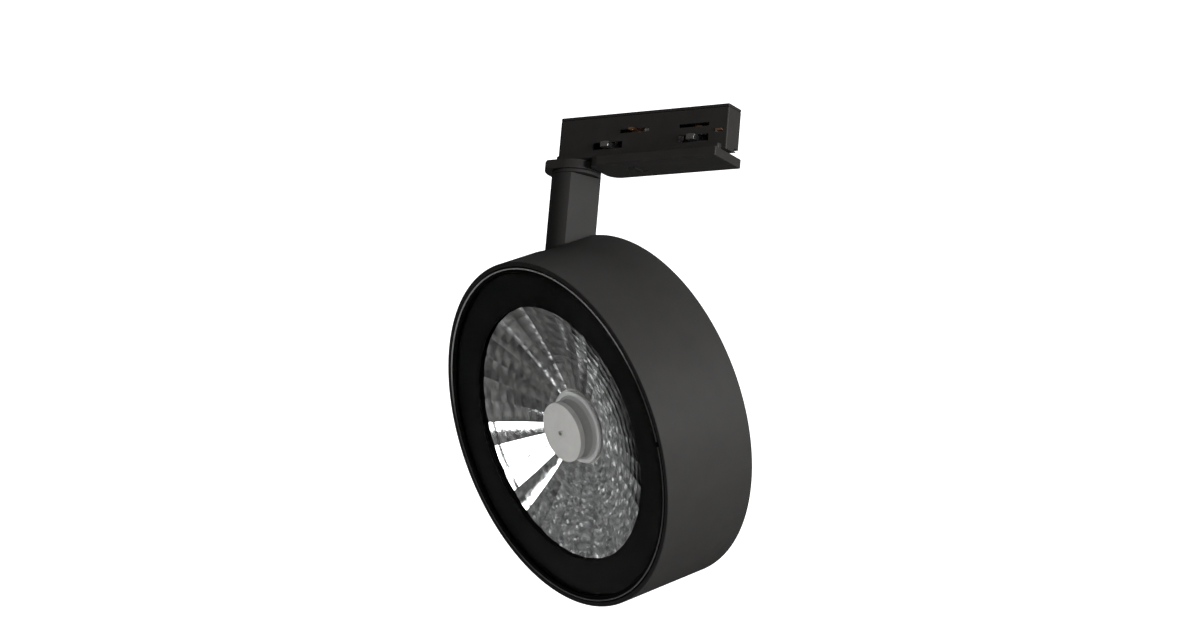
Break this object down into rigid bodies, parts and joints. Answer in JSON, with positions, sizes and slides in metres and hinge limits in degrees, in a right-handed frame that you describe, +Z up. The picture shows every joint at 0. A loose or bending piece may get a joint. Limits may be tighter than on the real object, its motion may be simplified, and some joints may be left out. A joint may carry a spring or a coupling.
{
  "type": "track spotlight",
  "caption": "Flat round museum spotlight with a faceted reflector, on a short stem and a multi-circuit track adapter; it pans, tilts, locks and selects circuits.",
  "frame": {"origin": "on the vertical pan axis, at the height of the track's underside, which is the adapter's seat plane", "axes": "+X along the track from the pan axis towards the adapter's long end, +Y across the track towards the side where the lock lever stands when locked, +Z up into the track"},
  "size_m": [0.1928, 0.1542, 0.2537],
  "materials": {
    "black_paint": "fine matt powder coat",
    "black_plastic": "moulded, lightly textured",
    "mask_black": "satin black",
    "reflector_metal": "vapour-coated facets",
    "clear_glass": "clear",
    "clear_plastic": "clear moulded acrylic",
    "frosted_plastic": "frosted",
    "steel": "zinc plated",
    "copper": "plain",
    "gasket_rubber": "matt",
    "cast_aluminium": "as cast",
    "circuit_board": "solder mask",
    "phosphor": "silicone over phosphor",
    "white_plastic": "moulded",
    "cable_skin": "satin"
  },
  "bodies": {
    "adapter": {"adapter_body": "black_plastic", "adapter_top_cover": "black_plastic", "pivot_housing": "black_plastic", "lower_cover": "black_plastic", "pan_spring_washer": "steel", "contact_carrier": "white_plastic", "adapter_terminal_block": "white_plastic", "earth_contact": "copper", "cover_screw_1": "steel", "cover_screw_2": "steel"},
    "rear_lock": {"rear_lock_shaft": "steel", "lock_lever": "black_plastic", "neutral_contact": "copper"},
    "front_lock": {"front_lock_shaft": "steel"},
    "lock_bar": {"lock_link": "steel"},
    "selector": {"selector_dial": "black_plastic", "selector_shaft": "white_plastic", "phase_contact": "copper"},
    "stem": {"stem_collar": "black_paint", "stem_tube": "black_paint", "stem_nipple": "steel", "pan_nut": "steel", "pan_stop_pin": "steel", "stem_cable": "cable_skin"},
    "head": {"housing_shell": "black_paint", "back_cover": "black_paint", "cover_seat": "cast_aluminium", "back_screw_1": "steel", "back_screw_2": "steel", "back_screw_3": "steel", "back_screw_4": "steel", "front_bezel": "mask_black", "mask_ring": "mask_black", "front_glass": "clear_glass", "glass_gasket": "gasket_rubber", "reflector": "reflector_metal", "reflector_carrier": "cast_aluminium", "clear_optic": "clear_plastic", "diffuser_cap": "frosted_plastic", "optic_holder": "white_plastic", "led_emitter": "phosphor", "led_board": "white_plastic", "heat_sink": "cast_aluminium", "driver_case": "black_plastic", "driver_board": "circuit_board", "driver_transformer": "black_plastic", "lamp_terminal_block": "white_plastic", "led_lead": "cable_skin", "input_lead": "cable_skin", "pivot_bracket": "steel", "tilt_axle": "steel", "tilt_nut": "steel", "tilt_washer_1": "copper", "tilt_washer_2": "copper"}
  },
  "joints": [
    {"name": "pan", "type": "hinge", "parent": "adapter", "child": "stem", "pos_m": [0, 0, 0], "axis": [0, 0, 1], "range_deg": [-172, 172]},
    {"name": "tilt", "type": "hinge", "parent": "stem", "child": "head", "pos_m": [0, 0, -0.065], "axis": [-0.9041, 0.4274, 0], "range_deg": [-63.3, 26.7]},
    {"name": "lock_turn", "type": "hinge", "parent": "adapter", "child": "rear_lock", "pos_m": [0.074, 0, 0], "axis": [0, 0, -1], "range_deg": [0, 90]},
    {"name": "front_lock_turn", "type": "hinge", "parent": "adapter", "child": "front_lock", "pos_m": [0.022, 0, 0], "axis": [0, 0, -1], "range_deg": [0, 90]},
    {"name": "lock_bar_swing", "type": "hinge", "parent": "rear_lock", "child": "lock_bar", "pos_m": [0.0772, 0, 0.0178], "axis": [0, 0, -1], "range_deg": [-90, 0]},
    {"name": "circuit_select", "type": "hinge", "parent": "adapter", "child": "selector", "pos_m": [0.038, 0, 0], "axis": [0, 0, -1], "range_deg": [0, 180]}
  ],
  "couplings": [
    {"joint": "front_lock_turn", "follows": "lock_turn", "ratio": 1},
    {"joint": "lock_bar_swing", "follows": "lock_turn", "ratio": -1}
  ]
}
